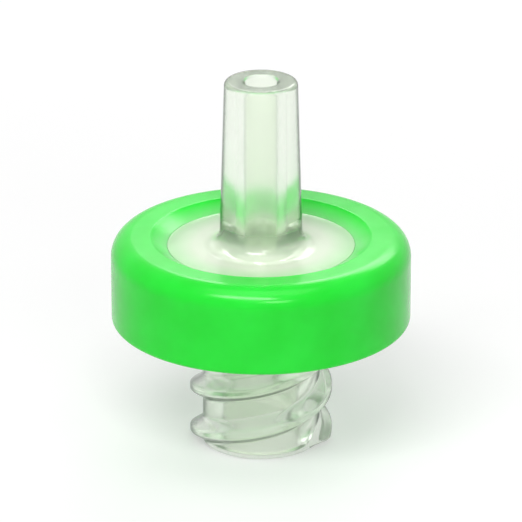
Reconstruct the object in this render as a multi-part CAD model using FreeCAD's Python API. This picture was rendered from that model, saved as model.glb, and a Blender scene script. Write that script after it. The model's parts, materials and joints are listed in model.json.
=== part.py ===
import FreeCAD, Part
import math
import os

# Overmoulded syringe filter with a 13 mm membrane, in millimetres.
# The filter's axis is the Z axis. It stands on the mouth of its female luer-lock
# inlet, which lies in the plane z = 0, and its male luer-slip outlet points up.

# ---- membrane and the stack that clamps it ----
MEMBRANE_DIAMETER = 13.0
MEMBRANE_THICKNESS = 0.15
MEMBRANE_CLEARANCE = 0.05      # around the membrane's edge, in its seat
CLAMP_WIDTH = 0.9              # width of the membrane's edge that the halves hold
RIM_WALL = 0.45                # wall of the halves outside the membrane's seat
INLET_RIM_THICKNESS = 1.325
OUTLET_RIM_THICKNESS = 1.325
WINDOW_STEP = 0.5              # how far each window stands out from its rim

# ---- overmould ring ----
RING_WALL = 1.15               # outside the rims
LIP_THICKNESS = 1.0            # over each rim
LIP_GRIP = 1.9                 # how far each lip reaches in from the rims' edge
LIP_BEVEL_WIDTH = 0.9          # slope that leads from a lip's face down to the window
INLET_EDGE_ROUNDING = 0.25
OUTLET_EDGE_ROUNDING = 1.1
LIP_ROUNDING = 0.12

# ---- inlet: female luer lock ----
INLET_LENGTH = 7.1             # mouth to the ring's lower face
LUER_TAPER = 0.06              # change of diameter for each unit of length
SOCKET_MOUTH_DIAMETER = 4.28
SOCKET_FLOOR = 1.375           # wall between the socket and the inlet chamber
SOCKET_CHAMFER = 0.15
HUB_ROUNDING = 0.2
THREAD_CREST_DIAMETER = 7.8
THREAD_DEPTH = 0.7             # crest to root, where the plain hub is
THREAD_LEAD = 5.0
THREAD_STARTS = 2
THREAD_CREST_WIDTH = 0.45
THREAD_BASE_WIDTH = 1.4
THREAD_CREST_ROUNDING = 0.3
THREAD_RUN_IN = 0.05           # plain length of the hub before the thread begins
THREAD_LEAD_IN = 0.4           # height over which a ridge rises from root to crest
THREAD_PHASE = 0.62            # height at which a crest crosses the +X side
THREAD_SEAM_ANGLE = 70         # keeps the ridges' own seams off the hub's seam
FOOT_MARGIN = 0.6              # window left clear round the cone that leads to the hub
FOOT_HEIGHT = 1.5
FOOT_ROUNDING = 0.5
ORIFICE_DIAMETER = 2.2         # from the socket to the inlet chamber

# ---- inlet chamber ----
INLET_CHAMBER_DEPTH = 0.45
INLET_RIB_COUNT = 8
INLET_RIB_WIDTH = 0.4
INLET_RIB_HEIGHT = 0.3
INLET_RIB_START = 1.7          # radius at which the ribs begin

# ---- outlet: male luer slip ----
OUTLET_LENGTH = 8.9            # ring's upper face to the tip
TIP_DIAMETER = 3.97
TIP_ROUNDING = 0.25
OUTLET_BORE = 1.8
BORE_CHAMFER = 0.12
BORE_FUNNEL = 0.4              # countersink where the bore leaves the chamber
OUTLET_FOOT_ROUNDING = 0.9

# ---- outlet chamber: membrane support ----
OUTLET_CHAMBER_DEPTH = 0.6
SUPPORT_FIRST_RADIUS = 1.8
SUPPORT_PITCH = 0.95
SUPPORT_WIDTH = 0.4
DRAIN_COUNT = 8
DRAIN_WIDTH = 0.5

ROOTED = 0.1                   # how deep a rib or ridge is sunk into its wall to join it

# ---- radii that follow ----
membrane_radius = MEMBRANE_DIAMETER / 2
seat_radius = membrane_radius + MEMBRANE_CLEARANCE
rim_radius = seat_radius + RIM_WALL
ring_radius = rim_radius + RING_WALL
window_radius = rim_radius - LIP_GRIP
chamber_radius = membrane_radius - CLAMP_WIDTH
crest_radius = THREAD_CREST_DIAMETER / 2
hub_radius = crest_radius - THREAD_DEPTH
foot_radius = window_radius - FOOT_MARGIN
orifice_radius = ORIFICE_DIAMETER / 2
bore_radius = OUTLET_BORE / 2

# ---- heights that follow, from the inlet's mouth up ----
ring_bottom = INLET_LENGTH
rim_bottom = ring_bottom + LIP_THICKNESS
window_bottom = rim_bottom - WINDOW_STEP
parting = rim_bottom + INLET_RIM_THICKNESS
inlet_chamber_floor = parting - INLET_CHAMBER_DEPTH
socket_depth = inlet_chamber_floor - SOCKET_FLOOR
membrane_top = parting + MEMBRANE_THICKNESS
outlet_chamber_roof = membrane_top + OUTLET_CHAMBER_DEPTH
rim_top = membrane_top + OUTLET_RIM_THICKNESS
window_top = rim_top + WINDOW_STEP
ring_top = rim_top + LIP_THICKNESS
tip_height = ring_top + OUTLET_LENGTH

ORIGIN = FreeCAD.Vector(0, 0, 0)
UP = FreeCAD.Vector(0, 0, 1)


def rounded_corner(before, at, after, radius):
    """Start, middle and end of the arc that rounds one corner of an outline."""
    back = (before - at).normalize()
    onward = (after - at).normalize()
    half_angle = back.getAngle(onward) / 2
    reach = radius / math.tan(half_angle)
    towards_centre = (back + onward).normalize()
    to_centre = radius / math.sin(half_angle)
    middle = at + towards_centre * (to_centre - radius)
    return at + back * reach, middle, at + onward * reach


def outline(corners):
    """Closed wire in the XZ plane through (radius, height, rounding) corners."""
    points = [FreeCAD.Vector(radius, 0, height) for radius, height, _ in corners]
    ends = []
    arcs = []
    for i, (_, _, rounding) in enumerate(corners):
        at = points[i]
        if rounding:
            start, middle, end = rounded_corner(points[i - 1], at, points[(i + 1) % len(points)], rounding)
            arcs.append(Part.Arc(start, middle, end).toShape())
        else:
            start, end = at, at
            arcs.append(None)
        ends.append((start, end))
    edges = []
    for i, arc in enumerate(arcs):
        if arc:
            edges.append(arc)
        edges.append(Part.makeLine(ends[i][1], ends[(i + 1) % len(ends)][0]))
    return Part.Wire(edges)


def turned(corners):
    """Solid of revolution about the Z axis with the given half section."""
    return Part.Face(outline(corners)).revolve(ORIGIN, UP, 360)


def around(shape, count):
    """Copies of a shape at equal angles about the axis."""
    copies = []
    for i in range(count):
        copy = shape.copy()
        copy.rotate(ORIGIN, UP, i * 360 / count)
        copies.append(copy)
    return copies


def socket_radius(height):
    """Radius of the tapered luer socket at a height above the mouth."""
    return (SOCKET_MOUTH_DIAMETER - LUER_TAPER * height) / 2


def outlet_radius(height):
    """Outside radius of the tapered luer tip at a height below its end."""
    return (TIP_DIAMETER + LUER_TAPER * (tip_height - height)) / 2


def helix_by_half_turns(lead, height, radius):
    """Right-hand helix from z = 0, as one edge for each half turn."""
    rise = lead / 2
    first = Part.makeHelix(lead, rise, radius).Edges[0]
    edges = []
    for i in range(math.ceil(height / rise)):
        edge = first.copy()
        edge.rotate(ORIGIN, UP, i * 180)
        edge.translate(UP * (i * rise))
        edges.append(edge)
    return Part.Wire(edges)


def thread_ridge():
    """One start of the inlet's outside thread, long enough to be cut at both ends."""
    flank = (THREAD_BASE_WIDTH - THREAD_CREST_WIDTH) / 2 / THREAD_DEPTH
    base_half = THREAD_BASE_WIDTH / 2 + flank * ROOTED
    crest_half = THREAD_CREST_WIDTH / 2
    section = outline([
        (hub_radius - ROOTED, -base_half, 0),
        (crest_radius, -crest_half, THREAD_CREST_ROUNDING),
        (crest_radius, crest_half, THREAD_CREST_ROUNDING),
        (hub_radius - ROOTED, base_half, 0),
    ])
    path = helix_by_half_turns(THREAD_LEAD, window_bottom + 2 * THREAD_LEAD, hub_radius)
    ridge = path.makePipeShell([section], True, True)
    ridge.rotate(ORIGIN, UP, THREAD_SEAM_ANGLE)
    rise = THREAD_LEAD * THREAD_SEAM_ANGLE / 360
    ridge.translate(UP * (THREAD_PHASE - THREAD_LEAD + rise))
    return ridge


def thread():
    """All starts of the thread, rising from the root at the mouth and cut off inside the foot."""
    outside = crest_radius + ROOTED
    inside = hub_radius - 2 * ROOTED
    slope = THREAD_LEAD_IN / THREAD_DEPTH
    end = window_bottom - ROOTED
    envelope = turned([
        (inside, THREAD_RUN_IN, 0),
        (hub_radius, THREAD_RUN_IN, 0),
        (outside, THREAD_RUN_IN + slope * (outside - hub_radius), 0),
        (outside, end, 0),
        (inside, end, 0),
    ])
    envelope.rotate(ORIGIN, UP, THREAD_SEAM_ANGLE)
    return [ridge.common(envelope) for ridge in around(thread_ridge(), THREAD_STARTS)]


def inlet_ribs():
    """Short radial ribs that spread the flow and keep the membrane off the chamber's floor."""
    length = chamber_radius + ROOTED - INLET_RIB_START
    height = INLET_RIB_HEIGHT + ROOTED
    corner = FreeCAD.Vector(INLET_RIB_START, -INLET_RIB_WIDTH / 2, inlet_chamber_floor - ROOTED)
    return around(Part.makeBox(length, INLET_RIB_WIDTH, height, corner), INLET_RIB_COUNT)


def make_inlet_housing():
    """Lower half: luer-lock hub, foot, window, inlet chamber and clamping rim."""
    body = turned([
        (socket_radius(0) + SOCKET_CHAMFER, 0, 0),
        (hub_radius, 0, HUB_ROUNDING),
        (hub_radius, window_bottom - FOOT_HEIGHT, FOOT_ROUNDING),
        (foot_radius, window_bottom, FOOT_ROUNDING),
        (window_radius, window_bottom, 0),
        (window_radius, rim_bottom, 0),
        (rim_radius, rim_bottom, 0),
        (rim_radius, parting, 0),
        (chamber_radius, parting, 0),
        (chamber_radius, inlet_chamber_floor, 0),
        (orifice_radius, inlet_chamber_floor, 0),
        (orifice_radius, socket_depth, 0),
        (socket_radius(socket_depth), socket_depth, 0),
        (socket_radius(SOCKET_CHAMFER), SOCKET_CHAMFER, 0),
    ])
    return body.fuse(thread() + inlet_ribs()).removeSplitter()


def membrane_support():
    """Concentric ribs under the membrane, cut by radial drain channels."""
    rings = []
    radius = SUPPORT_FIRST_RADIUS
    while radius + SUPPORT_WIDTH < chamber_radius:
        rings.append(turned([
            (radius - SUPPORT_WIDTH / 2, membrane_top, 0),
            (radius + SUPPORT_WIDTH / 2, membrane_top, 0),
            (radius + SUPPORT_WIDTH / 2, outlet_chamber_roof + ROOTED, 0),
            (radius - SUPPORT_WIDTH / 2, outlet_chamber_roof + ROOTED, 0),
        ]))
        radius += SUPPORT_PITCH
    corner = FreeCAD.Vector(0, -DRAIN_WIDTH / 2, membrane_top)
    channel = Part.makeBox(chamber_radius, DRAIN_WIDTH, OUTLET_CHAMBER_DEPTH, corner)
    channels = around(channel, DRAIN_COUNT)
    return [ring.cut(channels) for ring in rings]


def make_outlet_housing():
    """Upper half: membrane seat and support, drain chamber, window and luer tip."""
    body = turned([
        (chamber_radius, membrane_top, 0),
        (seat_radius, membrane_top, 0),
        (seat_radius, parting, 0),
        (rim_radius, parting, 0),
        (rim_radius, rim_top, 0),
        (window_radius, rim_top, 0),
        (window_radius, window_top, 0),
        (outlet_radius(window_top), window_top, OUTLET_FOOT_ROUNDING),
        (outlet_radius(tip_height), tip_height, TIP_ROUNDING),
        (bore_radius + BORE_CHAMFER, tip_height, 0),
        (bore_radius, tip_height - BORE_CHAMFER, 0),
        (bore_radius, outlet_chamber_roof + BORE_FUNNEL, 0),
        (bore_radius + BORE_FUNNEL, outlet_chamber_roof, 0),
        (chamber_radius, outlet_chamber_roof, 0),
    ])
    return body.fuse(membrane_support()).removeSplitter()


def make_membrane():
    """Nylon disc, lying on the inlet half's rim."""
    return Part.makeCylinder(membrane_radius, MEMBRANE_THICKNESS, FreeCAD.Vector(0, 0, parting))


def make_overmould_ring():
    """Green ring that grips both rims in a channel, with a bevelled lip over each."""
    lip_face_radius = window_radius + LIP_BEVEL_WIDTH
    return turned([
        (window_radius, window_bottom, 0),
        (lip_face_radius, ring_bottom, LIP_ROUNDING),
        (ring_radius, ring_bottom, INLET_EDGE_ROUNDING),
        (ring_radius, ring_top, OUTLET_EDGE_ROUNDING),
        (lip_face_radius, ring_top, LIP_ROUNDING),
        (window_radius, window_top, 0),
        (window_radius, rim_top, 0),
        (rim_radius, rim_top, 0),
        (rim_radius, rim_bottom, 0),
        (window_radius, rim_bottom, 0),
    ])


os.makedirs("parts", exist_ok=True)
make_inlet_housing().exportStep("parts/inlet_housing.step")
make_outlet_housing().exportStep("parts/outlet_housing.step")
make_membrane().exportStep("parts/membrane.step")
make_overmould_ring().exportStep("parts/overmould_ring.step")
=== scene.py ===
"""The looks of a 13 mm syringe filter: two clear halves, a nylon membrane and a green ring."""

import json
import math

import bmesh
import bpy
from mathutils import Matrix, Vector


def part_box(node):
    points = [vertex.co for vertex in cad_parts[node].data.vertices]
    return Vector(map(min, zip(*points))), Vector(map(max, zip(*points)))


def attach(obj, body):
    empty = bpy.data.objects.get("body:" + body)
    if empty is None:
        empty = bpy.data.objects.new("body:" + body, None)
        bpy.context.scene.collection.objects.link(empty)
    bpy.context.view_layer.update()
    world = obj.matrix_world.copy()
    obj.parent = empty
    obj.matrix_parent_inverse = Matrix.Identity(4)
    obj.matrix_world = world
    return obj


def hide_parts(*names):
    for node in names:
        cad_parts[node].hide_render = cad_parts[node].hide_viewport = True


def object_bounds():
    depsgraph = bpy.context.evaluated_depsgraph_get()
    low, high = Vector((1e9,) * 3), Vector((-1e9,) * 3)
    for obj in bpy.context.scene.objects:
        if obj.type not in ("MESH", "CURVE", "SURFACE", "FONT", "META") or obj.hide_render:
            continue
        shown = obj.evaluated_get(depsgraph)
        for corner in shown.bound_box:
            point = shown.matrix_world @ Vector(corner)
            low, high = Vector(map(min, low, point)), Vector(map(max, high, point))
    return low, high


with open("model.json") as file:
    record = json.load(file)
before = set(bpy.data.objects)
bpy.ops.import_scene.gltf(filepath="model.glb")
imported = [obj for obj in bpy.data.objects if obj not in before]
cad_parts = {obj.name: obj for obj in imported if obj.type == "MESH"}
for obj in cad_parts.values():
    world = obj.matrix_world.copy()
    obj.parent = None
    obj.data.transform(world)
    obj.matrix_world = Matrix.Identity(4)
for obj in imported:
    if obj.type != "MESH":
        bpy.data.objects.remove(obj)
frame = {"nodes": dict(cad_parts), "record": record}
cad_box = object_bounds()

MM = 0.001
BODY = "root"

# Levels and radii that the CAD nodes give, in millimetres.
ring_low, ring_high = (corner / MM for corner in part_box("overmould_ring"))
inlet_low, inlet_high = (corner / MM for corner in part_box("inlet_housing"))
outlet_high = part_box("outlet_housing")[1] / MM
membrane_low, membrane_high = (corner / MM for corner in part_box("membrane"))
RING_RADIUS = ring_high.x
RIM_RADIUS = inlet_high.x
MEMBRANE_RADIUS = membrane_high.x
RING_BOTTOM, RING_TOP = ring_low.z, ring_high.z
MOUTH, TIP = inlet_low.z, outlet_high.z
SPLIT = inlet_high.z
SEAT = membrane_high.z

# Radii and lengths that the mounts give, in millimetres.
mounts = {mount["name"]: mount["dims"] for mount in frame["record"]["mounts"]}
SOCKET_RADIUS = mounts["inlet_luer_socket"]["r_mm"]
SOCKET_DEPTH = mounts["inlet_luer_socket"]["length_mm"]
CREST_RADIUS = mounts["inlet_lock_thread"]["r_mm"]
FOOT_BOTTOM = mounts["inlet_lock_thread"]["length_mm"]
ORIFICE_RADIUS = mounts["inlet_orifice"]["r_mm"]
TIP_RADIUS = mounts["outlet_luer_tip"]["r_mm"]
BORE_RADIUS = mounts["outlet_bore"]["r_mm"]

# Sizes that only the section shows, in millimetres.
LUER_TAPER = 0.06  # on the diameter
LIP_THICKNESS = 1.0  # of the ring, over and under the rims
LIP_RADIUS = 5.1  # where the lips end and the windows begin
LIP_FLAT_RADIUS = 6.0  # where the lips' bevels begin
WINDOW_STEP = 0.5  # from the ring's face down to the window
CHAMBER_RADIUS = 5.6
INLET_CHAMBER_DEPTH = 0.45
OUTLET_CHAMBER_DEPTH = 0.6
SOCKET_CHAMFER = 0.15
HUB_RADIUS = 3.2
FOOT_RADIUS = 4.5
TIP_FOOT_RADIUS = TIP_RADIUS + LUER_TAPER / 2 * (TIP - RING_TOP + WINDOW_STEP)
BORE_CHAMFER = 0.12
BORE_FUNNEL = 0.4
SEAT_CLEARANCE = 0.05  # round the membrane's edge

# Roundings of the moulded edges, in millimetres.
EDGE = 0.05  # of an edge that has none of its own
HUB_ROUNDING = 0.2
FOOT_ROUNDING = 0.5
TIP_FOOT_ROUNDING = 0.9
TIP_ROUNDING = 0.25
BORE_ROUNDING = 0.04
LIP_ROUNDING = 0.12
INLET_EDGE_ROUNDING = 0.25
OUTLET_EDGE_ROUNDING = 1.1
RIB_ROUNDING = 0.08

THREAD_LEAD = 5.0
THREAD_STARTS = 2
THREAD_PHASE = 0.62  # height of a crest over +X
THREAD_FLANK_TOP = 0.12  # half the width of the rounded crest
THREAD_FLANK_FOOT = 0.78  # half the width of the thread at its foot
THREAD_FIRST, THREAD_FULL = 0.05, 0.45  # the crest's height where it starts and where it is whole
THREAD_LAST = RING_BOTTOM + WINDOW_STEP - 0.1  # where it has sunk into the foot
THREAD_MOUTH = 0.3  # height over which it rises out of the mouth's edge

RIB_COUNT = 8
RIB_WIDTH = 0.4
RIB_HEIGHT = 0.3
RIB_START = 1.7
SUPPORT_RADII = (1.8, 2.75, 3.7, 4.65)
SUPPORT_WIDTH = 0.4
DRAIN_WIDTH = 0.5
ROOTED = 0.1  # how far a rib goes into the wall that carries it

MEMBRANE_SAG = 0.03  # how far it is pressed into the drains
MEMBRANE_ROWS = 64
MEMBRANE_EDGE = 0.02  # chamfer of its rim
MEMBRANE_LEVEL = 0.5  # width beside its clamped rim over which it comes back to level

# How finely the meshes are made.
SKIN = 0.012  # air left between faces that touch, so that light meets one at a time
SEGMENTS = 224  # round the axis
ARC_STEP = math.radians(11)
LONGEST_RUN = 0.8
THREAD_STEP = 0.07  # between the rows that carry the thread
RIB_STEPS = 4  # along a straight rib
ARC_STEPS_PER_MM = 4  # along a support ring's arc, for each millimetre of its radius
CORNER_STEPS = 3  # round a rib's crest
SHARP_ANGLE = math.radians(32)

# The camera looks down as far as the one that took the photograph did.
CAMERA_AZIMUTH = 0
CAMERA_ELEVATION = 22
CAMERA_DISTANCE = 0.26  # metres, as the next
CAMERA_NEAREST = 0.01
CAMERA_LENS = 330  # millimetres, as the next
SENSOR = 36

# Softboxes: azimuth and elevation in degrees, distance, width and height in metres, and radiance.
SOFTBOXES = {
    "overhead": (0, 80, 0.16, 0.14, 0.09, 1.7),
    "front": (-16, 50, 0.16, 0.10, 0.028, 16.0),
    "glint": (12, 30, 0.16, 0.05, 0.016, 12.0),
    "back": (165, 35, 0.18, 0.12, 0.05, 4.5),
}
WORLD_LIGHT, WORLD_SEEN = 0.2, 1.0  # what the surroundings give, and how bright they look
FLOOR_REACH = 1.5  # metres from the floor's middle to each side
FLOOR_PARTS = 8
FLOOR_WHITENS = 14, 75  # millimetres from the axis over which it turns to the white behind it
GLOW_NEAR, GLOW_FAR = 0.42, 0.85  # how much of the floor's look is its own light
FLOOR_GREYS = (0, 0.8), (GLOW_NEAR, 0.62), (GLOW_FAR, 0.2)  # its grey at each share of own light
BOUNCES, CLEAR_BOUNCES = 32, 24  # how often light may turn in all, and by gloss or clear plastic


# ---------------------------------------------------------------- outlines


def smooth_step(low, high, value):
    """0 below low, 1 above high, and a smooth rise between them."""
    share = min(1.0, max(0.0, (value - low) / (high - low)))
    return share * share * (3 - 2 * share)


def round_corner(before, corner, after, rounding):
    """The points of the arc that rounds a corner of an outline."""
    to_before = (before - corner).normalized()
    to_after = (after - corner).normalized()
    half = math.acos(max(-1.0, min(1.0, to_before.dot(to_after)))) / 2
    run = rounding / math.tan(half)
    centre = corner + (to_before + to_after).normalized() * rounding / math.sin(half)
    first, last = corner + to_before * run - centre, corner + to_after * run - centre
    turn = math.pi - 2 * half
    steps = max(3, math.ceil(turn / ARC_STEP))
    arc = []
    for i in range(steps + 1):
        share = i / steps
        towards = first * math.sin((1 - share) * turn) + last * math.sin(share * turn)
        arc.append(centre + towards / math.sin(turn))
    return arc


def divide_run(start, end, step):
    """Points from start to end: one close to each, to hold the shading, and more at step apart."""
    length = (end - start).length
    hold = min(EDGE, length / 3)
    if length < 2.5 * EDGE:
        return []
    inner = max(1, math.ceil((length - 2 * hold) / step))
    places = [hold + (length - 2 * hold) * i / inner for i in range(inner + 1)]
    return [start + (end - start) * place / length for place in places]


def outline(corners):
    """A closed half section through corners: radius, height, rounding, step of the run after it."""
    count = len(corners)
    flat = [Vector(corner[:2]) for corner in corners]
    parts = []
    for i, corner in enumerate(corners):
        rounding = corner[2] if len(corner) > 2 else EDGE
        if rounding:
            parts.append(round_corner(flat[i - 1], flat[i], flat[(i + 1) % count], rounding))
        else:
            parts.append([flat[i]])
    points = []
    for i, part in enumerate(parts):
        step = corners[i][3] if len(corners[i]) > 3 else LONGEST_RUN
        points += part
        points += divide_run(part[-1], parts[(i + 1) % count][0], step)
    return points


# ---------------------------------------------------------------- meshes


def new_object(name, bm):
    """An object with smooth shading from a mesh in millimetres."""
    bmesh.ops.recalc_face_normals(bm, faces=bm.faces)
    for vertex in bm.verts:
        vertex.co *= MM
    mesh = bpy.data.meshes.new(name)
    bm.to_mesh(mesh)
    bm.free()
    mesh.polygons.foreach_set("use_smooth", [True] * len(mesh.polygons))
    mesh.set_sharp_from_angle(angle=SHARP_ANGLE)
    piece = bpy.data.objects.new(name, mesh)
    bpy.context.scene.collection.objects.link(piece)
    return piece


def lathe(points, radius_at=None):
    """Turns a closed half section round Z. radius_at(angle, radius, height) may move a point."""
    bm = bmesh.new()
    columns = []
    for column in range(SEGMENTS):
        angle = 2 * math.pi * column / SEGMENTS
        verts = []
        for point in points:
            radius = radius_at(angle, point.x, point.y) if radius_at else point.x
            x, y = radius * math.cos(angle), radius * math.sin(angle)
            verts.append(bm.verts.new((x, y, point.y)))
        columns.append(verts)
    for column in range(SEGMENTS):
        here, there = columns[column], columns[(column + 1) % SEGMENTS]
        for i in range(len(points)):
            j = (i + 1) % len(points)
            bm.faces.new((here[i], there[i], there[j], here[j]))
    return bm


def block(section, ends, steps):
    """A closed bar. section holds (offset, height), and ends(offset, share) gives x and y."""
    bm = bmesh.new()
    rows = []
    for step in range(steps + 1):
        row = []
        for offset, height in section:
            x, y = ends(offset, step / steps)
            row.append(bm.verts.new((x, y, height)))
        rows.append(row)
    for here, there in zip(rows, rows[1:]):
        for i in range(len(section)):
            j = (i + 1) % len(section)
            bm.faces.new((here[i], here[j], there[j], there[i]))
    bm.faces.new(rows[0])
    bm.faces.new(rows[-1])
    return bm


def add_to(bm, other):
    """Adds the mesh other to bm."""
    mesh = bpy.data.meshes.new("part")
    bmesh.ops.recalc_face_normals(other, faces=other.faces)
    other.to_mesh(mesh)
    other.free()
    bm.from_mesh(mesh)
    bpy.data.meshes.remove(mesh)


def join_solids(piece, ribs):
    """Makes ribs part of the piece's own solid."""
    union = piece.modifiers.new("ribs", "BOOLEAN")
    union.operation = "UNION"
    union.solver = "EXACT"
    union.object = ribs
    shown = bpy.context.evaluated_depsgraph_get()
    mesh = bpy.data.meshes.new_from_object(piece.evaluated_get(shown))
    piece.modifiers.clear()
    old = piece.data
    piece.data = mesh
    mesh.name = piece.name
    bpy.data.meshes.remove(old)
    bpy.data.objects.remove(ribs)
    mesh.polygons.foreach_set("use_smooth", [True] * len(mesh.polygons))
    mesh.set_sharp_from_angle(angle=SHARP_ANGLE)


def rib_section(half_width, root, crest):
    """The section of a moulded rib: straight sides and a crest with rounded corners."""
    soft = min(RIB_ROUNDING, half_width / 2)
    way = 1 if crest > root else -1
    right, left = [], []
    for i in range(CORNER_STEPS + 1):
        turn = i / CORNER_STEPS * math.pi / 2
        offset = half_width - soft + soft * math.cos(turn)
        height = crest - way * soft * (1 - math.sin(turn))
        right.append((offset, height))
        left.append((-offset, height))
    return [(-half_width, root), (half_width, root)] + right + left[::-1]


# ---------------------------------------------------------------- pieces


def thread_radius(angle, radius, height):
    """The hub's outside at a place: its own radius, or the thread's where that stands out."""
    if height > THREAD_LAST or radius < HUB_RADIUS - 2 * EDGE:
        return radius
    pitch = THREAD_LEAD / THREAD_STARTS
    along = height - THREAD_PHASE - THREAD_LEAD * angle / (2 * math.pi)
    aside = (along + pitch / 2) % pitch - pitch / 2
    crest = height - aside
    whole = smooth_step(THREAD_FIRST, THREAD_FULL, crest)
    flank = 1 - smooth_step(THREAD_FLANK_TOP, THREAD_FLANK_FOOT, abs(aside))
    mouth = smooth_step(0.0, THREAD_MOUTH, height)
    return max(radius, HUB_RADIUS + (CREST_RADIUS - HUB_RADIUS) * whole * flank * mouth)


def make_inlet_housing():
    """The lower half: threaded hub with its luer socket, foot, window, chamber and rim."""
    window = RING_BOTTOM + WINDOW_STEP
    floor = SPLIT - INLET_CHAMBER_DEPTH
    socket_end = SOCKET_RADIUS - LUER_TAPER / 2 * SOCKET_DEPTH
    chamfer_end = SOCKET_RADIUS - LUER_TAPER / 2 * SOCKET_CHAMFER
    hub = [
        (SOCKET_RADIUS + SOCKET_CHAMFER, MOUTH),
        (HUB_RADIUS, MOUTH, HUB_ROUNDING, THREAD_STEP),
        (HUB_RADIUS, FOOT_BOTTOM, FOOT_ROUNDING, THREAD_STEP),
        (FOOT_RADIUS, window, FOOT_ROUNDING),
        (LIP_RADIUS - SKIN, window, 0),
        (LIP_RADIUS - SKIN, RING_BOTTOM + LIP_THICKNESS + SKIN, 0),
        (RIM_RADIUS - SKIN, RING_BOTTOM + LIP_THICKNESS + SKIN),
        (RIM_RADIUS - SKIN, SPLIT - SKIN),
        (CHAMBER_RADIUS, SPLIT - SKIN),
        (CHAMBER_RADIUS, floor),
        (ORIFICE_RADIUS, floor),
        (ORIFICE_RADIUS, SOCKET_DEPTH),
        (socket_end, SOCKET_DEPTH),
        (chamfer_end, SOCKET_CHAMFER),
    ]
    piece = new_object("inlet_half", lathe(outline(hub), thread_radius))
    ribs = bmesh.new()
    section = rib_section(RIB_WIDTH / 2, floor - ROOTED, floor + RIB_HEIGHT)
    for i in range(RIB_COUNT):
        turn = 2 * math.pi * i / RIB_COUNT

        def ends(offset, share, turn=turn):
            run = RIB_START + (CHAMBER_RADIUS + ROOTED - RIB_START) * share
            return (
                run * math.cos(turn) - offset * math.sin(turn),
                run * math.sin(turn) + offset * math.cos(turn),
            )

        add_to(ribs, block(section, ends, RIB_STEPS))
    join_solids(piece, new_object("ribs", ribs))
    return piece


def make_outlet_housing():
    """The upper half: luer tip with its bore, window, membrane support and rim."""
    window = RING_TOP - WINDOW_STEP
    ceiling = SEAT + OUTLET_CHAMBER_DEPTH
    tip = [
        (MEMBRANE_RADIUS + SEAT_CLEARANCE, SPLIT + SKIN),
        (RIM_RADIUS - SKIN, SPLIT + SKIN),
        (RIM_RADIUS - SKIN, RING_TOP - LIP_THICKNESS - SKIN),
        (LIP_RADIUS - SKIN, RING_TOP - LIP_THICKNESS - SKIN, 0),
        (LIP_RADIUS - SKIN, window, 0),
        (TIP_FOOT_RADIUS, window, TIP_FOOT_ROUNDING),
        (TIP_RADIUS, TIP, TIP_ROUNDING),
        (BORE_RADIUS + BORE_CHAMFER, TIP, BORE_ROUNDING),
        (BORE_RADIUS, TIP - BORE_CHAMFER, BORE_ROUNDING),
        (BORE_RADIUS, ceiling + BORE_FUNNEL),
        (BORE_RADIUS + BORE_FUNNEL, ceiling),
        (CHAMBER_RADIUS, ceiling),
        (CHAMBER_RADIUS, SEAT + SKIN),
        (MEMBRANE_RADIUS + SEAT_CLEARANCE, SEAT + SKIN, 0),
    ]
    piece = new_object("outlet_half", lathe(outline(tip)))
    ribs = bmesh.new()
    section = rib_section(SUPPORT_WIDTH / 2, ceiling + ROOTED, SEAT + SKIN)
    sector = 2 * math.pi / RIB_COUNT
    for middle in SUPPORT_RADII:
        for i in range(RIB_COUNT):

            def ends(offset, share, middle=middle, i=i):
                radius = middle + offset
                drain = math.asin(DRAIN_WIDTH / 2 / radius)
                angle = i * sector + drain + (sector - 2 * drain) * share
                return radius * math.cos(angle), radius * math.sin(angle)

            add_to(ribs, block(section, ends, round(ARC_STEPS_PER_MM * middle)))
    join_solids(piece, new_object("supports", ribs))
    return piece


def make_membrane():
    """The nylon disc, pressed a little into the drains between the support rings."""
    bm = bmesh.new()
    radii = [MEMBRANE_RADIUS * i / MEMBRANE_ROWS for i in range(1, MEMBRANE_ROWS)]
    radii += [MEMBRANE_RADIUS - MEMBRANE_EDGE, MEMBRANE_RADIUS]
    pitch = SUPPORT_RADII[1] - SUPPORT_RADII[0]

    def lift(radius):
        """How far the disc stands up: not at all on the support rings, and most between them."""
        if radius > CHAMBER_RADIUS:
            return 0.0
        held = math.cos(math.pi * (radius - SUPPORT_RADII[0]) / pitch) ** 2
        edge = 1 - smooth_step(CHAMBER_RADIUS - MEMBRANE_LEVEL, CHAMBER_RADIUS, radius)
        return MEMBRANE_SAG * (1 - held) * edge

    angles = [2 * math.pi * i / SEGMENTS for i in range(SEGMENTS)]
    low, high = membrane_low.z + 2 * SKIN, membrane_high.z - 2 * SKIN
    rims = []
    for level, inwards in ((low, 1), (high, -1)):
        middle = bm.verts.new((0, 0, level + lift(0)))
        rows = []
        for radius in radii:
            chamfer = MEMBRANE_EDGE if radius == MEMBRANE_RADIUS else 0.0
            height = level + lift(radius) + inwards * chamfer
            circle = [(radius * math.cos(angle), radius * math.sin(angle)) for angle in angles]
            rows.append([bm.verts.new((x, y, height)) for x, y in circle])
        for i in range(SEGMENTS):
            j = (i + 1) % SEGMENTS
            bm.faces.new((middle, rows[0][i], rows[0][j]))
            for inner, outer in zip(rows, rows[1:]):
                bm.faces.new((inner[i], outer[i], outer[j], inner[j]))
        rims.append(rows[-1])
    under, over = rims
    for i in range(SEGMENTS):
        j = (i + 1) % SEGMENTS
        bm.faces.new((under[i], over[i], over[j], under[j]))
    return new_object("membrane_disc", bm)


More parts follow.
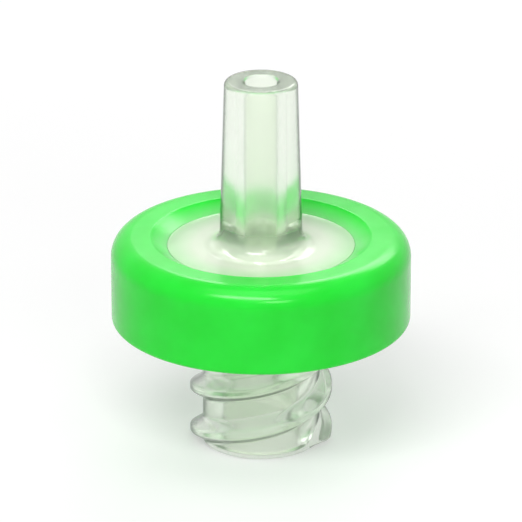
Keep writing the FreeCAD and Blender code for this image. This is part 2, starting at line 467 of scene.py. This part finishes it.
def make_ring():
    """The green ring: a round band with a lip over and under the stacked rims."""
    band = [
        (LIP_RADIUS, RING_BOTTOM + WINDOW_STEP),
        (LIP_FLAT_RADIUS, RING_BOTTOM, LIP_ROUNDING),
        (RING_RADIUS, RING_BOTTOM, INLET_EDGE_ROUNDING),
        (RING_RADIUS, RING_TOP, OUTLET_EDGE_ROUNDING),
        (LIP_FLAT_RADIUS, RING_TOP, LIP_ROUNDING),
        (LIP_RADIUS, RING_TOP - WINDOW_STEP),
        (LIP_RADIUS, RING_TOP - LIP_THICKNESS),
        (RIM_RADIUS, RING_TOP - LIP_THICKNESS),
        (RIM_RADIUS, RING_BOTTOM + LIP_THICKNESS),
        (LIP_RADIUS, RING_BOTTOM + LIP_THICKNESS),
    ]
    return new_object("green_ring", lathe(outline(band)))


# ---------------------------------------------------------------- materials

NOISE_LOW, NOISE_HIGH = 0.3, 0.7  # most of what a noise gives lies between these


class Nodes:
    """Short calls that add nodes to a material or world."""

    def __init__(self, tree):
        self.tree = tree
        tree.nodes.clear()

    def add(self, kind, **settings):
        """A new node of a kind, with its settings."""
        node = self.tree.nodes.new(kind)
        for key, value in settings.items():
            setattr(node, key, value)
        return node

    def link(self, source, target):
        self.tree.links.new(source, target)

    def noise(self, place, size_mm, detail=2.0, roughness=0.5):
        """Noise whose features are about size_mm across."""
        node = self.add("ShaderNodeTexNoise")
        node.inputs["Scale"].default_value = 1 / (size_mm * MM)
        node.inputs["Detail"].default_value = detail
        node.inputs["Roughness"].default_value = roughness
        self.link(place, node.inputs["Vector"])
        return node.outputs["Fac"]

    def spread(self, value, low, high, start=NOISE_LOW, end=NOISE_HIGH):
        """Maps start .. end, by default the middle of a noise's range, to low .. high."""
        node = self.add("ShaderNodeMapRange")
        node.inputs["From Min"].default_value = start
        node.inputs["From Max"].default_value = end
        node.inputs["To Min"].default_value = low
        node.inputs["To Max"].default_value = high
        self.link(value, node.inputs["Value"])
        return node.outputs["Result"]

    def colours(self, value, *stops):
        """A colour ramp with stops given as (place, (r, g, b))."""
        node = self.add("ShaderNodeValToRGB")
        ramp = node.color_ramp
        while len(ramp.elements) < len(stops):
            ramp.elements.new(0.5)
        for element, (place, colour) in zip(ramp.elements, stops):
            element.position = place
            element.color = (*colour, 1)
        self.link(value, node.inputs["Fac"])
        return node.outputs["Color"]

    def shades(self, noise, pair):
        """One of two colours or a blend of them, over the middle of a noise's range."""
        return self.colours(noise, (NOISE_LOW, pair[0]), (NOISE_HIGH, pair[1]))

    def bump(self, height, depth_mm):
        """A surface that rises and falls by depth_mm."""
        node = self.add("ShaderNodeBump")
        node.inputs["Distance"].default_value = depth_mm * MM
        self.link(height, node.inputs["Height"])
        return node.outputs["Normal"]

    def mix(self, share, colour, other):
        """From colour, a socket, to other, three numbers, by share."""
        node = self.add("ShaderNodeMixRGB")
        self.link(share, node.inputs["Fac"])
        self.link(colour, node.inputs["Color1"])
        node.inputs["Color2"].default_value = (*other, 1)
        return node.outputs["Color"]

    def from_axis(self, place, start_mm, end_mm):
        """0 to 1 as the distance from the filter's axis goes from start_mm to end_mm."""
        level = self.add("ShaderNodeVectorMath", operation="MULTIPLY")
        level.inputs[1].default_value = (1, 1, 0)
        self.link(place, level.inputs[0])
        radius = self.add("ShaderNodeVectorMath", operation="LENGTH")
        self.link(level.outputs["Vector"], radius.inputs[0])
        return self.spread(radius.outputs["Value"], 0, 1, start_mm * MM, end_mm * MM)

    def math(self, operation, *values):
        """The result of a Math node on sockets or numbers."""
        node = self.add("ShaderNodeMath", operation=operation)
        for slot, value in zip(node.inputs, values):
            if isinstance(value, (int, float)):
                slot.default_value = value
            else:
                self.link(value, slot)
        return node.outputs["Value"]

    def outside(self):
        """1 where light meets a face from the air, 0 where it meets it inside the plastic."""
        return self.math("SUBTRACT", 1.0, self.add("ShaderNodeNewGeometry").outputs["Backfacing"])

    def grazing(self, start, end):
        """0 to 1 as a face turns edge-on to the eye, for painted shade along the edges of clear
        plastic, where light has the longest way through it.
        """
        node = self.add("ShaderNodeLayerWeight")
        node.inputs["Blend"].default_value = 0.5
        return self.spread(node.outputs["Facing"], 0, 1, start, end)

    def from_level(self, place, level_mm, start_mm, end_mm):
        """0 to 1 as the height above or below a level goes from start_mm to end_mm."""
        split = self.add("ShaderNodeSeparateXYZ")
        self.link(place, split.inputs[0])
        away = self.math("ABSOLUTE", self.math("SUBTRACT", split.outputs["Z"], level_mm * MM))
        return self.spread(away, 0, 1, start_mm * MM, end_mm * MM)

    def principled(self, **values):
        """The surface's shader, with values that are the same all over set by name."""
        node = self.add("ShaderNodeBsdfPrincipled")
        for key, value in values.items():
            node.inputs[key.replace("_", " ")].default_value = value
        output = self.add("ShaderNodeOutputMaterial")
        self.link(node.outputs["BSDF"], output.inputs["Surface"])
        return node

    def seen_directly(self):
        """1 for rays from the camera or through gloss and glass, 0 for rays that light things."""
        path = self.add("ShaderNodeLightPath")
        total = path.outputs["Is Camera Ray"]
        for name in ("Is Glossy Ray", "Is Transmission Ray"):
            total = self.math("MAXIMUM", total, path.outputs[name])
        return total


def new_material(name):
    """An empty material, and the calls that fill it."""
    material = bpy.data.materials.new(name)
    material.use_nodes = True
    return material, Nodes(material.node_tree)


POLYPROPYLENE_IOR = 1.49

# Clear polypropylene. A share of its skin is milky and scatters the light that comes from the air.
# The milky white is the plastic's own; its faint green is painted green light from the ring.
MILK_AND_PAINTED_GREEN_SHADES = (0.91, 0.975, 0.865), (0.94, 0.99, 0.90)
WINDOW_AND_PAINTED_GREEN_SHADE = (0.90, 0.998, 0.81)  # over the white membrane, which shows through; its yellow-green is painted green light from the ring
WINDOW_PAINTED_RING_LIGHT = (0.50, 0.95, 0.45)  # painted green light from the ring, on the window next to it
WINDOW_PAINTED_RING_LIGHT_RADII = 3.6, 5.2  # radii where the painted ring light begins and where it is whole
PAINTED_EDGE_SHADE = (0.05, 0.08, 0.05)  # painted dark edge shade, standing in for the darkening of clear plastic seen edge-on, the longest way through it
PAINTED_EDGE_SHADE_SPAN = 0.6, 0.76  # how far edge-on a face is where the painted edge shade begins and where it is whole
MILKY_DISC, MILKY_TUBE = 0.68, 0.22
TUBES = 2.1, 3.4  # heights from the split where the disc ends and where the tubes begin

# Green polypropylene.
GREEN_SHADES = (0.006, 0.76, 0.025), (0.012, 0.83, 0.04)
LIP_PAINTED_WINDOW_LIGHT = (0.25, 0.88, 0.27)  # painted light from the white window, on the ring's bevels next to it
LIP_PAINTED_LIGHT_RADII = 5.9, 4.9  # radii where the painted window light begins and where it is whole

NYLON_SHADES = (0.92, 0.92, 0.88), (0.97, 0.97, 0.95)


def natural_polypropylene():
    """Unpigmented polypropylene: milky, lets light through, with a glossy moulded skin."""
    material, nodes = new_material("natural_polypropylene_moulded")
    place = nodes.add("ShaderNodeTexCoord").outputs["Object"]
    shader = nodes.principled(IOR=POLYPROPYLENE_IOR)
    outside = nodes.outside()
    tubes = nodes.from_level(place, SPLIT, *TUBES)
    disc = nodes.math("SUBTRACT", 1.0, tubes)
    # The plastic's milky tone, with a faint painted green light from the ring.
    colour = nodes.shades(nodes.noise(place, size_mm=3.0), MILK_AND_PAINTED_GREEN_SHADES)
    # Over the membrane: its white shows through, with a painted green light from the ring.
    colour = nodes.mix(disc, colour, WINDOW_AND_PAINTED_GREEN_SHADE)
    # Painted green light from the ring, on the window's edge.
    colour = nodes.mix(nodes.from_axis(place, *WINDOW_PAINTED_RING_LIGHT_RADII), colour, WINDOW_PAINTED_RING_LIGHT)
    # Painted dark shade along the edges of tube and hub, where they are seen edge-on.
    painted_edge_shade = nodes.math("MULTIPLY", nodes.grazing(*PAINTED_EDGE_SHADE_SPAN), outside)
    colour = nodes.mix(nodes.math("MULTIPLY", painted_edge_shade, tubes), colour, PAINTED_EDGE_SHADE)
    nodes.link(colour, shader.inputs["Base Color"])
    milky = nodes.spread(tubes, MILKY_DISC, MILKY_TUBE, 0, 1)
    clear = nodes.math("SUBTRACT", 1.0, nodes.math("MULTIPLY", milky, outside))
    nodes.link(clear, shader.inputs["Transmission Weight"])
    sheen = nodes.spread(nodes.noise(place, size_mm=1.1), 0.14, 0.2)
    nodes.link(sheen, shader.inputs["Roughness"])
    waves = nodes.noise(place, size_mm=1.3, detail=1.0)
    nodes.link(nodes.bump(waves, depth_mm=0.008), shader.inputs["Normal"])
    return material


def green_polypropylene():
    """Pigmented polypropylene: a glossy moulded skin over a green that light enters a little."""
    material, nodes = new_material("green_polypropylene_moulded")
    place = nodes.add("ShaderNodeTexCoord").outputs["Object"]
    shader = nodes.principled(
        IOR=POLYPROPYLENE_IOR,
        Specular_IOR_Level=0.35,
        Subsurface_Weight=0.5,
        Subsurface_Radius=(0.35, 1.0, 0.4),
        Subsurface_Scale=MM,
    )
    colour = nodes.shades(nodes.noise(place, size_mm=2.5), GREEN_SHADES)
    # Painted light from the white window, paler on the ring's bevels.
    colour = nodes.mix(nodes.from_axis(place, *LIP_PAINTED_LIGHT_RADII), colour, LIP_PAINTED_WINDOW_LIGHT)
    nodes.link(colour, shader.inputs["Base Color"])
    sheen = nodes.spread(nodes.noise(place, size_mm=1.2), 0.19, 0.255)
    nodes.link(sheen, shader.inputs["Roughness"])
    waves = nodes.noise(place, size_mm=1.6, detail=1.0)
    nodes.link(nodes.bump(waves, depth_mm=0.003), shader.inputs["Normal"])
    return material


def nylon_membrane():
    """A porous nylon sheet: white, matte, with a fine fibrous grain."""
    material, nodes = new_material("nylon_membrane_sheet")
    place = nodes.add("ShaderNodeTexCoord").outputs["Object"]
    shader = nodes.principled(Roughness=0.9, IOR=1.4)
    grain = nodes.noise(place, size_mm=0.12, detail=4.0, roughness=0.65)
    nodes.link(nodes.shades(grain, NYLON_SHADES), shader.inputs["Base Color"])
    nodes.link(nodes.bump(grain, depth_mm=0.01), shader.inputs["Normal"])
    return material


# ---------------------------------------------------------------- the object

natural = natural_polypropylene()
green = green_polypropylene()
nylon = nylon_membrane()

PIECES = (
    (make_inlet_housing, "inlet_housing", natural, "natural_polypropylene"),
    (make_outlet_housing, "outlet_housing", natural, "natural_polypropylene"),
    (make_membrane, "membrane", nylon, "nylon_membrane"),
    (make_ring, "overmould_ring", green, "green_polypropylene"),
)
for make, node, material, slot in PIECES:
    piece = make()
    for shape in (piece, frame["nodes"][node]):
        shape.data.materials.clear()
        shape.data.materials.append(material)
    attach(piece, BODY)
    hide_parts(node)


# ---------------------------------------------------------------- the stage


def make_floor():
    """A wide pale floor at the level that the object stands on."""
    bm = bmesh.new()
    bmesh.ops.create_grid(bm, x_segments=FLOOR_PARTS, y_segments=FLOOR_PARTS, size=FLOOR_REACH)
    mesh = bpy.data.meshes.new("floor")
    bm.to_mesh(mesh)
    bm.free()
    floor = bpy.data.objects.new("floor", mesh)
    floor.location.z = cad_box[0].z
    bpy.context.scene.collection.objects.link(floor)
    material, nodes = new_material("pale_floor")
    shader = nodes.principled(Roughness=0.9, Specular_IOR_Level=0.1, Emission_Color=(1, 1, 1, 1))
    place = nodes.add("ShaderNodeTexCoord").outputs["Object"]
    far = nodes.from_axis(place, *FLOOR_WHITENS)
    own_light = nodes.spread(far, GLOW_NEAR, GLOW_FAR, 0, 1)
    glow = nodes.math("MULTIPLY", nodes.seen_directly(), own_light)
    nodes.link(glow, shader.inputs["Emission Strength"])
    stops = [(share, (grey, grey, grey)) for share, grey in FLOOR_GREYS]
    nodes.link(nodes.colours(glow, *stops), shader.inputs["Base Color"])
    mesh.materials.append(material)


def make_world():
    """Even pale surroundings."""
    world = bpy.data.worlds.new("studio")
    world.use_nodes = True
    bpy.context.scene.world = world
    nodes = Nodes(world.node_tree)
    back = nodes.add("ShaderNodeBackground")
    back.inputs["Color"].default_value = (1, 1, 1, 1)
    strength = nodes.spread(nodes.seen_directly(), WORLD_LIGHT, WORLD_SEEN, 0, 1)
    nodes.link(strength, back.inputs["Strength"])
    out = nodes.add("ShaderNodeOutputWorld")
    nodes.link(back.outputs[0], out.inputs["Surface"])


def aim(thing, place, target):
    """Puts a lamp or camera at a place, looking at target."""
    thing.location = place
    thing.rotation_euler = (target - place).to_track_quat("-Z", "Y").to_euler()


def direction(azimuth, elevation):
    """Unit vector towards a place seen from the object: azimuth 0 is the front, -Y."""
    turn, rise = math.radians(azimuth), math.radians(elevation)
    level = math.cos(rise)
    return Vector((math.sin(turn) * level, -math.cos(turn) * level, math.sin(rise)))


def make_softbox(name, azimuth, elevation, distance, width, height, radiance, target):
    """An area lamp of a given size and radiance."""
    data = bpy.data.lights.new(name, "AREA")
    data.shape = "RECTANGLE"
    data.size = width
    data.size_y = height
    data.energy = radiance * math.pi * width * height
    lamp = bpy.data.objects.new(name, data)
    bpy.context.scene.collection.objects.link(lamp)
    aim(lamp, target + direction(azimuth, elevation) * distance, target)


def make_camera(target):
    """A long lens that looks down at target."""
    data = bpy.data.cameras.new("camera")
    data.lens = CAMERA_LENS
    data.sensor_width = SENSOR
    data.clip_start = CAMERA_NEAREST
    camera = bpy.data.objects.new("camera", data)
    bpy.context.scene.collection.objects.link(camera)
    aim(camera, target + direction(CAMERA_AZIMUTH, CAMERA_ELEVATION) * CAMERA_DISTANCE, target)
    bpy.context.scene.camera = camera


centre = (cad_box[0] + cad_box[1]) / 2
make_floor()
make_world()
make_camera(centre)
for name, (azimuth, elevation, distance, width, height, radiance) in SOFTBOXES.items():
    make_softbox(name, azimuth, elevation, distance, width, height, radiance, centre)
scene = bpy.context.scene
scene.view_settings.view_transform = "Standard"
# Light meets many faces inside the clear plastic before it comes out again.
scene.cycles.max_bounces = BOUNCES
scene.cycles.glossy_bounces = CLEAR_BOUNCES
scene.cycles.transmission_bounces = CLEAR_BOUNCES
